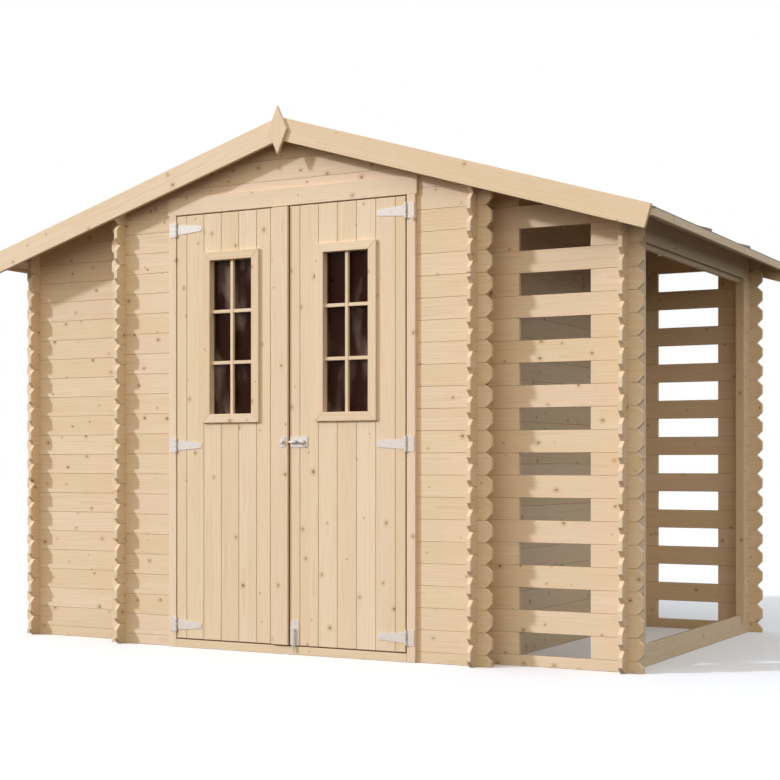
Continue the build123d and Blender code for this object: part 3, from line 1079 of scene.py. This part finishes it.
@dataclass
class DoorFrame:
    """Jambs, lintel and sill round the doorway."""

    trim: Material

    def build(self) -> None:
        """Builds and dresses the four boards."""
        for node, run in (
            ("door_jamb_left", Axis.UP),
            ("door_jamb_right", Axis.UP),
            ("door_lintel", Axis.ACROSS),
            ("door_sill", Axis.ACROSS),
        ):
            board = Board(*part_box(node), run, Axis.ALONG, arris=TRIM_ARRIS, jointed=False).make()
            hand_over([board], node + "_board", self.trim, Body.SHED, Slot.TRIM, node)


@dataclass
class DoorLeaf:
    """A leaf of upright boards with its ledges, window, bars and trim."""

    side: str
    body: Body
    boards: Material
    trim: Material
    glass: Material
    first_joint: float
    last_joint: float
    cover: float = 0.0918
    leaf_arris: float = 0.0022
    ledge_high: float = 0.095
    ledge_arris: float = 0.002
    middle_share: float = 0.454
    bar_wide: float = 0.015
    bar_back: float = 0.0005
    bar_step: float = 0.001
    trim_wide: float = 0.038
    trim_arris: float = 0.0014

    def build(self) -> None:
        """Builds and dresses the leaf, whose pane keeps its solid."""
        self._leaf()
        self._ledges()
        self._bars()
        self._frame(f"{self.side}_window_trim", "mitred_trim")
        self._frame(f"{self.side}_sash", "frame")
        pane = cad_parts[f"{self.side}_glass"]
        pane.data.materials.clear()
        pane.data.materials.append(self.glass)
        log.info("%s: pane on %s", pane.name, self.body.value)

    def _window(self) -> tuple[Vector, Vector]:
        """Corners of the window opening."""
        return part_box(f"{self.side}_glass")

    def _leaf(self) -> None:
        """Upright boards, cut round the window."""
        node = f"{self.side}_leaf"
        low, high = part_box(node)
        pane_low, pane_high = self._window()
        opening = ((pane_low.x, low.y - PAST, pane_low.z), (pane_high.x, high.y + PAST, pane_high.z))
        joints = [low.x]
        joint = self.first_joint
        while joint < self.last_joint - self.cover / 2:
            joints.append(joint)
            joint += self.cover
        joints += [self.last_joint, high.x]
        boards = []
        for start, end in zip(joints, joints[1:]):
            pieces, holes = [(low.z, high.z)], []
            if pane_low.x <= start and end <= pane_high.x:
                pieces = [(low.z, pane_low.z), (pane_high.z, high.z)]
            elif start < pane_high.x and end > pane_low.x:
                holes = [opening]
            for bottom, top in pieces:
                a, b = (start, low.y, bottom), (end, high.y, top)
                boards.append(Board(a, b, Axis.UP, Axis.ALONG, arris=self.leaf_arris, holes=holes).make())
        hand_over(boards, node + "_boards", self.boards, self.body, Slot.DOOR, node)

    def _ledges(self) -> None:
        """Ledges across the back, one at each hinge."""
        node = f"{self.side}_ledges"
        low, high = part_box(node)
        boards = []
        for share in (0.0, self.middle_share, 1.0):
            bottom = low.z + share * (high.z - low.z - self.ledge_high)
            a, b = (low.x, low.y, bottom), (high.x, high.y, bottom + self.ledge_high)
            boards.append(Board(a, b, Axis.ACROSS, Axis.ALONG, arris=self.ledge_arris, jointed=False).make())
        hand_over(boards, node + "_boards", self.trim, self.body, Slot.DOOR, node)

    def _bars(self) -> None:
        """Glazing bars, one upright between two level ones, flush with the leaf."""
        low, high = self._window()
        leaf_low, leaf_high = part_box(f"{self.side}_leaf")
        half, middle = self.bar_wide / 2, (low.x + high.x) / 2
        front = leaf_low.y + self.bar_back
        spans = [((middle - half, front, low.z), (middle + half, leaf_high.y, high.z), Axis.UP)]
        for share in (1 / 3, 2 / 3):
            z = low.z + share * (high.z - low.z)
            for start, end in ((low.x, middle - half), (middle + half, high.x)):
                a, b = (start, front + self.bar_step, z - half), (end, leaf_high.y, z + half)
                spans.append((a, b, Axis.ACROSS))
        bars = [Board(a, b, run, Axis.ALONG, arris=TRIM_ARRIS, jointed=False).make() for a, b, run in spans]
        hand_over(bars, f"{self.side}_glazing_bars", self.trim, self.body, Slot.TRIM)

    def _frame(self, node: str, word: str) -> None:
        """Four mitred boards round the window.

        Args:
            node: the solid that they stand for.
            word: end of the piece's name.
        """
        low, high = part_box(node)
        boards = []
        for run, across, mitre in ((Axis.ACROSS, 2, 1), (Axis.UP, 0, -1)):
            for edge in (-1, 1):
                a, b = low.copy(), high.copy()
                if edge > 0:
                    a[across] = b[across] - self.trim_wide
                else:
                    b[across] = a[across] + self.trim_wide
                cuts = []
                for end in (-1, 1):
                    x, z = (end, edge) if run is Axis.ACROSS else (edge, end)
                    corner = (high.x if x > 0 else low.x, 0, high.z if z > 0 else low.z)
                    cuts.append((corner, (mitre * x, 0, -mitre * z)))
                board = Board(a, b, run, Axis.ALONG, arris=self.trim_arris, jointed=False, cuts=cuts)
                boards.append(board.make())
        hand_over(boards, f"{node}_{word}", self.trim, self.body, Slot.TRIM, node)


@dataclass
class PressedPlate:
    """A pressed steel plate that lies on a board's front face."""

    left: float
    right: float
    low: float
    high: float
    face: float
    corner: float = 0.003

    def make(self, rounded: Callable[[Vector], bool] = lambda place: True) -> Object:
        """Builds the plate.

        Args:
            rounded: says which corners are rounded.

        Returns:
            The plate.
        """
        front = self.face - PLATE_THICK
        plate = block((self.left, front, self.low), (self.right, self.face, self.high), "plate")
        round_edges(plate, lambda a, b: abs(a.y - b.y) > NEAR and rounded(a), self.corner)
        break_edges(plate, STEEL_ARRIS)
        return plate


@dataclass
class Screw:
    """A round screw head with a sunk socket, seen from the front."""

    radius: float = 0.0036
    proud: float = 0.0013
    sunk: float = 0.0005
    arris: float = 0.0006
    rim_share: float = 0.45
    socket_share: float = 0.6

    first: ClassVar[list[Object]] = []

    def make(self, x: float, y: float, z: float) -> Object:
        """Sets a copy of the screw head on a face.

        Args:
            x: its place across the building.
            y: the face that it sits on.
            z: its height.

        Returns:
            The screw head.
        """
        if not self.first:
            head = rod((0, self.sunk, 0), (0, -self.proud, 0), self.radius, self.arris)
            with editing(head, "FACE") as shape:
                for face in shape.faces:
                    face.select_set(face.normal.y < NEAR - 1.0)
                bmesh.update_edit_mesh(head.data)
                deep = self.proud * self.socket_share
                bpy.ops.mesh.inset(thickness=self.radius * self.rim_share, depth=-deep)
            head.name = "screw_head"
            self.first.append(head)
        return copy_at(self.first[0], (x, y, z))


@dataclass
class Hinges:
    """T hinges: a plate on the jamb and a tapered strap on the leaf, three to a leaf."""

    side: str
    body: Body
    zinc: Material
    middle_share: float = 0.454
    strap_long: float = 0.124
    strap_root: float = 0.045
    strap_tip: float = 0.027
    plate_high: float = 0.065
    knuckle: float = 0.005
    clear: float = 0.007
    slack: float = 0.0005
    tip_round_share: float = 0.8
    tip_facets: int = 5
    strap_screws: Sequence[Point] = ((0.020, 0.011), (0.020, -0.011), (0.070, 0.0), (0.117, 0.0))
    plate_screws: tuple[float, ...] = (-0.68, 0.0, 0.68)

    def build(self) -> None:
        """Builds one hinge, copies it to the other rows and dresses them."""
        strap_node, plate_node = f"{self.side}_hinge_straps", f"{self.side}_hinge_plates"
        low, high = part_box(strap_node)
        plate_low, plate_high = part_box(plate_node)
        way = 1 if low.x > 0 else -1
        axis = plate_low.x + self.knuckle if way > 0 else plate_high.x - self.knuckle
        reach = plate_high.x - axis if way > 0 else axis - plate_low.x
        first, last = low.z + self.strap_root / 2, high.z - self.strap_root / 2
        for node, parts, body in (
            (strap_node, self._strap(way, axis, high.y, first), self.body),
            (plate_node, self._plate(way, axis, reach, high.y, first), Body.SHED),
        ):
            hinge = join(parts, node + "_steel")
            more = [copy_at(hinge, (0, 0, share * (last - first))) for share in (self.middle_share, 1.0)]
            hand_over([hinge, *more], node + "_steel", self.zinc, body, Slot.ZINC, node)

    def _strap(self, way: int, axis: float, face: float, z: float) -> list[Object]:
        """Strap with its rounded tip, its knuckle and four screws.

        Args:
            way: side of the building, -1 or 1.
            axis: the pin's place across the building.
            face: the leaf's front.
            z: height of the hinge.

        Returns:
            The strap's parts.
        """
        front = face - PLATE_THICK
        root, tip = axis - way * self.clear, axis - way * self.strap_long
        half, tip_half = self.strap_root / 2, self.strap_tip / 2
        end = tip - way * tip_half
        left, right = sorted((root, end))
        strap = block((left, front, z - half), (right, face, z + half), "strap")
        for up in (1, -1):
            saw(strap, ((root, 0, z + up * half), (way * (tip_half - half), 0, up * abs(root - tip))))
        round_edges(
            strap,
            lambda a, b: abs(a.y - b.y) > NEAR and abs(a.x - end) < NEAR,
            tip_half * self.tip_round_share,
            self.tip_facets,
        )
        break_edges(strap, STEEL_ARRIS)
        tongue = self.plate_high / 6 - self.slack
        left, right = sorted((axis, root))
        neck = block((left, front, z - tongue), (right, face, z + tongue), "neck")
        y = face - self.knuckle
        pin = rod((axis, y, z - tongue), (axis, y, z + tongue), self.knuckle)
        screws = [Screw().make(axis - way * out, front, z + rise) for out, rise in self.strap_screws]
        return [strap, neck, pin, *screws]

    def _plate(self, way: int, axis: float, reach: float, face: float, z: float) -> list[Object]:
        """Jamb plate with its two knuckles and three screws.

        Args:
            way: side of the building, -1 or 1.
            axis: the pin's place across the building.
            reach: the plate's width from the pin.
            face: the jamb's front.
            z: height of the hinge.

        Returns:
            The plate's parts.
        """
        half, sixth = self.plate_high / 2, self.plate_high / 6
        left, right = sorted((axis, axis + way * reach))
        plate = PressedPlate(left, right, z - half, z + half, face).make()
        left, right = axis - self.clear, axis + self.clear
        hollow(plate, (left, face - PAST, z - sixth), (right, face + PAST, z + sixth))
        y = face - self.knuckle
        ends = ((z - half, z - sixth), (z + sixth, z + half))
        pins = [rod((axis, y, a), (axis, y, b), self.knuckle) for a, b in ends]
        x = axis + way * (reach + self.clear) / 2
        screws = [Screw().make(x, face - PLATE_THICK, z + rise * half) for rise in self.plate_screws]
        return [plate, *pins, *screws]


@dataclass
class BarrelBolt:
    """Barrel bolt on the right leaf, drawn back, and its keeper on the cover strip."""

    zinc: Material
    steel: Material
    bolt: float = 0.0055
    bolt_ends: tuple[float, float] = (0.002, 0.012)
    loop_long: float = 0.013
    loop_wall: float = 0.0018
    loop_front: float = 0.0012
    loop_round: float = 0.0052
    loop_arris: float = 0.0004
    loop_facets: int = 5
    loop_places: tuple[float, float] = (0.016, 0.024)
    screw_in: float = 0.007
    screw_up: float = 0.016
    keeper_screw_up: float = 0.017
    stem: float = 0.0032
    stem_in: float = 0.003
    knob: float = 0.0065
    knob_deep: float = 0.007
    knob_round: float = 0.0018

    def build(self) -> None:
        """Builds and dresses bolt, knob and keeper."""
        low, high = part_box("latch")
        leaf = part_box("right_leaf")[0].y
        front, z = leaf - PLATE_THICK, (low.z + high.z) / 2
        y = front - self.bolt
        plate = PressedPlate(low.x, high.x, low.z, high.z, leaf).make()
        barrel = rod((low.x - self.bolt_ends[0], y, z), (high.x - self.bolt_ends[1], y, z), self.bolt)
        places = (low.x + self.loop_places[0], high.x - self.loop_places[1])
        loops = [self._loop(x, leaf, z) for x in places]
        corners = [(x, up) for x in (low.x + self.screw_in, high.x - self.screw_in) for up in (-1, 1)]
        screws = [Screw().make(x, front, z + up * self.screw_up) for x, up in corners]
        parts = [plate, barrel, *loops, *screws]
        hand_over(parts, "barrel_bolt", self.zinc, Body.RIGHT_DOOR, Slot.ZINC, "latch")
        x = (low.x + high.x) / 2
        stem = rod((x, y, z), (x, low.y + self.stem_in, z), self.stem)
        knob = rod((x, low.y + self.knob_deep, z), (x, low.y, z), self.knob, self.knob_round)
        hand_over([stem, knob], "bolt_knob", self.steel, Body.RIGHT_DOOR, Slot.ZINC)
        low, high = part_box("latch_keeper")
        x = (low.x + high.x) / 2
        plate = PressedPlate(low.x, high.x, low.z, high.z, high.y).make()
        screws = [Screw().make(x, high.y - PLATE_THICK, z + up * self.keeper_screw_up) for up in (-1, 1)]
        parts = [plate, self._loop(x, high.y, z), *screws]
        hand_over(parts, "bolt_keeper", self.zinc, Body.LEFT_DOOR, Slot.ZINC, "latch_keeper")

    def _loop(self, x: float, face: float, z: float) -> Object:
        """Pressed loop that the bolt slides in.

        Args:
            x: its middle across the building.
            face: back of its plate.
            z: height of the bolt.

        Returns:
            The loop.
        """
        half = self.bolt + self.loop_wall
        front = face - PLATE_THICK - 2 * self.bolt - self.loop_front
        a, b = x - self.loop_long / 2, x + self.loop_long / 2
        loop = block((a, front, z - half), (b, face - PLATE_REST, z + half), "loop")
        round_edges(
            loop,
            lambda p, q: abs(p.x - q.x) > NEAR and max(p.y, q.y) < front + NEAR,
            self.loop_round,
            self.loop_facets,
        )
        break_edges(loop, self.loop_arris)
        return loop


@dataclass
class FootBolt:
    """Bolt at the foot of the right leaf, let down before the sill."""

    zinc: Material
    corner: float = 0.012
    rod_radius: float = 0.004
    rod_rim: float = 0.0014
    rod_over: float = 0.022
    handle_up: float = 0.016
    handle_reach: tuple[float, float] = (-0.014, -0.003)
    handle_radius: float = 0.0034
    guide_wide: float = 0.016
    guide_high: float = 0.053
    guide_deep: float = 0.011
    guide_round: float = 0.0045
    screw_out: float = 0.0145
    screw_rows: tuple[float, float] = (0.012, 0.066)

    def build(self) -> None:
        """Builds and dresses plate, guide and rod."""
        low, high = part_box("foot_bolt")
        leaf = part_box("right_leaf")[0]
        x, base, face = (low.x + high.x) / 2, leaf.z, leaf.y - PLATE_THICK
        plate = PressedPlate(low.x, high.x, base, high.z, leaf.y, self.corner)
        half, front = self.guide_wide / 2, leaf.y - self.guide_deep
        a, b = (x - half, front, base), (x + half, leaf.y - PLATE_REST, base + self.guide_high)
        guide = block(a, b, "guide")
        round_edges(
            guide,
            lambda p, q: abs(p.z - q.z) > NEAR and max(p.y, q.y) < front + NEAR,
            self.guide_round,
        )
        break_edges(guide, STEEL_ARRIS)
        spots = [(x + out * self.screw_out, base + up) for out in (-1, 1) for up in self.screw_rows]
        screws = [Screw().make(across, face, z) for across, z in (*spots, (x, high.z - PAST))]
        parts = [plate.make(lambda place: place.z > base + PAST), guide, *screws]
        hand_over(parts, "foot_bolt_plate", self.zinc, Body.RIGHT_DOOR, Slot.ZINC, "foot_bolt")
        y, top = low.y + self.rod_radius, base + self.guide_high
        shaft = rod((x, y, low.z), (x, y, top + self.rod_over), self.rod_radius, self.rod_rim)
        z = top + self.handle_up
        handle = rod((x, y, z), (x + self.handle_reach[0], y + self.handle_reach[1], z), self.handle_radius)
        hand_over([shaft, handle], "foot_bolt_rod", self.zinc, Body.RIGHT_DOOR, Slot.ZINC)


@dataclass
class CoverStrip:
    """Board on the left leaf beside the doors' meeting edge, which it laps."""

    trim: Material
    arris: float = 0.002
    lap: float = 0.003

    def build(self) -> None:
        """Builds and dresses the strip."""
        low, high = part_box("meeting_strip")
        high.x += self.lap
        strip = Board(low, high, Axis.UP, Axis.ALONG, arris=self.arris, jointed=False).make()
        hand_over([strip], "meeting_strip_board", self.trim, Body.LEFT_DOOR, Slot.TRIM, "meeting_strip")


@dataclass
class Studio:
    """Floor, light and camera."""

    eye: Point = (3.569, -6.592, 0.809)
    turned: float = 28.46
    focal_px: float = 1568.0
    picture_px: float = 780.0
    horizon_px: float = 464.3
    sensor_mm: float = 36.0
    sun_way: Point = (1.25, 1.0, -0.75)
    sun_strength: float = 2.5
    sun_wide: float = 4.0
    sun_colour: str = "#E2EAFF"
    fill_colour: str = "#D9E1EA"
    front_colour: str = "#FFE0B4"
    front_share: float = 0.85
    shown_colour: str = "#FFFFFF"
    floor_wide: float = 120.0
    floor_pale: str = "#F8F8F8"
    floor_bounce: str = "#303030"
    floor_rough: float = 0.9

    def build(self) -> None:
        """Sets the scene round the object."""
        self._floor()
        self._sun()
        self._surround()
        self._camera()

    def _shown(self, tree: Tree) -> Socket:
        """Whether a ray comes from the camera, a gloss or a pane.

        Args:
            tree: nodes that ask.

        Returns:
            The answer's socket.
        """
        ray = add_node(tree, "LightPath").outputs
        seen = ray["Is Camera Ray"]
        for other in ("Is Glossy Ray", "Is Transmission Ray"):
            seen = add_node(tree, "Math", {0: seen, 1: ray[other]}, operation="MAXIMUM").outputs[0]
        return seen

    def _floor(self) -> None:
        """Wide pale floor, which throws little light back up under the roof."""
        clear_selection()
        bpy.ops.mesh.primitive_plane_add(size=self.floor_wide)
        floor = bpy.context.object
        floor.name = "floor"
        made, tree, shader = new_material("pale_floor")
        tints = {6: linear(self.floor_bounce), 7: linear(self.floor_pale)}
        colour = add_node(tree, "Mix", {0: self._shown(tree), **tints}, data_type="RGBA").outputs[2]
        feed(tree, shader, {"Base Color": colour, "Roughness": self.floor_rough, "Specular IOR Level": 0.0})
        floor.data.materials.append(made)

    def _sun(self) -> None:
        """Low sun from the front left."""
        lamp = bpy.data.lights.new("key", "SUN")
        lamp.energy = self.sun_strength
        lamp.angle = math.radians(self.sun_wide)
        lamp.color = linear(self.sun_colour)[:3]
        key = bpy.data.objects.new("key", lamp)
        key.rotation_mode = "QUATERNION"
        key.rotation_quaternion = Vector(self.sun_way).to_track_quat("-Z", "Y")
        bpy.context.collection.objects.link(key)

    def _surround(self) -> None:
        """White surround that fills the shadows, brighter and warmer ahead of the doors."""
        world = bpy.data.worlds.new("surround")
        bpy.context.scene.world = world
        world.use_nodes = True
        tree = world.node_tree
        way = add_node(tree, "TexCoord").outputs["Generated"]
        ahead = (0, -self.front_share, 0)
        share = add_node(tree, "VectorMath", {0: way, 1: ahead}, operation="DOT_PRODUCT").outputs["Value"]
        share = add_node(tree, "Math", {0: share, 1: 0.0}, operation="MAXIMUM").outputs[0]
        tint = linear(self.front_colour)[:3]
        warm = add_node(tree, "VectorMath", {0: tint, "Scale": share}, operation="SCALE").outputs[0]
        cool = linear(self.fill_colour)[:3]
        fill = add_node(tree, "VectorMath", {0: warm, 1: cool}, operation="ADD").outputs[0]
        feeds = {0: self._shown(tree), 6: fill, 7: linear(self.shown_colour)}
        colour = add_node(tree, "Mix", feeds, data_type="RGBA").outputs[2]
        feed(tree, tree.nodes["Background"], {"Color": colour})

    def _camera(self) -> None:
        """Level camera right of the front, as the photograph was taken."""
        lens = bpy.data.cameras.new("camera")
        lens.sensor_width = self.sensor_mm
        lens.lens = self.sensor_mm * self.focal_px / self.picture_px
        lens.shift_y = (self.horizon_px - self.picture_px / 2) / self.picture_px
        eye = bpy.data.objects.new("camera", lens)
        eye.location = self.eye
        eye.rotation_euler = (math.pi / 2, 0.0, math.radians(self.turned))
        bpy.context.collection.objects.link(eye)
        bpy.context.scene.camera = eye
        bpy.context.scene.view_settings.view_transform = "Standard"


def main() -> None:
    """Builds the pieces in order, then removes the stock meshes and the first screw head."""
    logging.basicConfig(level=logging.INFO, format="%(name)s: %(message)s")
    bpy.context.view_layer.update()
    walls = PlanedSpruce("planed_spruce_wall").material()
    trim = PlanedSpruce("planed_spruce_trim", pale="#EBD6B4", knot_share=0.5).material()
    doors = PlanedSpruce("planed_spruce_door", pale="#EBD6B4", rosy="#EBD3B5", knot_share=0.5).material()
    roof = PlanedSpruce("planed_spruce_roof").material()
    zinc = ZincPlate().material()
    steel = ZincPlate("turned_steel", bright="#9B9D9E", dull="#808385").material()
    glass = WindowPane().material()
    Walls(walls).build()
    OpenSide(walls, trim).build()
    Roof(roof, trim, MineralFelt().material()).build()
    DoorFrame(trim).build()
    leaf = (doors, trim, glass)
    DoorLeaf("left", Body.LEFT_DOOR, *leaf, first_joint=-0.5200, last_joint=-0.0822).build()
    DoorLeaf("right", Body.RIGHT_DOOR, *leaf, first_joint=0.0665, last_joint=0.5255).build()
    Hinges("left", Body.LEFT_DOOR, zinc).build()
    Hinges("right", Body.RIGHT_DOOR, zinc).build()
    BarrelBolt(zinc, steel).build()
    FootBolt(zinc).build()
    CoverStrip(doors).build()
    Studio().build()
    for mesh in Board.stock.values():
        bpy.data.meshes.remove(mesh)
    for head in Screw.first:
        bpy.data.objects.remove(head)
    clear_selection()


if __name__ == "__main__":
    main()
